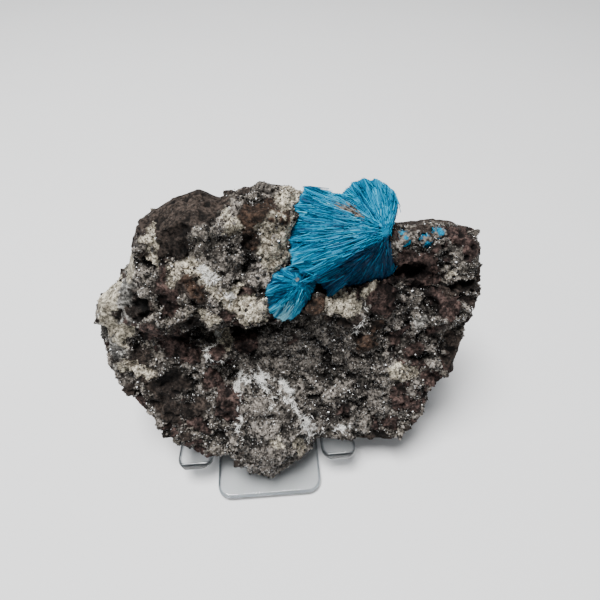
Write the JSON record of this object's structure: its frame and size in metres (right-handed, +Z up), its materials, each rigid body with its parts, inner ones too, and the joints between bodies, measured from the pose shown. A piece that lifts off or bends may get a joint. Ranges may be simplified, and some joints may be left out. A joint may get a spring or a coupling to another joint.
{
  "type": "cavansite specimen on a display easel",
  "caption": "Blue radiating cavansite on a rough druse-lined basalt breccia, leaning on a clear easel bent from one sheet.",
  "frame": {"origin": "on the table, under the middle of the whole piece", "axes": "+Z up, -Y towards the viewer, +X to the viewer's right, along the easel's width"},
  "size_m": [0.0986, 0.0672, 0.0754],
  "materials": {
    "basalt_breccia": "rough dark basalt breccia with a sparkling grey druse, maroon clasts and cream veins",
    "cavansite": "fibrous silky blue crystal, vitreous along the blades",
    "clear_sheet": "clear polished acrylic sheet, slightly frosted along its sawn edges"
  },
  "bodies": {
    "root": {"matrix": "basalt_breccia", "cavansite_spray": "cavansite", "cavansite_tuft_1": "cavansite", "cavansite_tuft_2": "cavansite", "cavansite_tuft_3": "cavansite", "easel": "clear_sheet"}
  },
  "joints": []
}
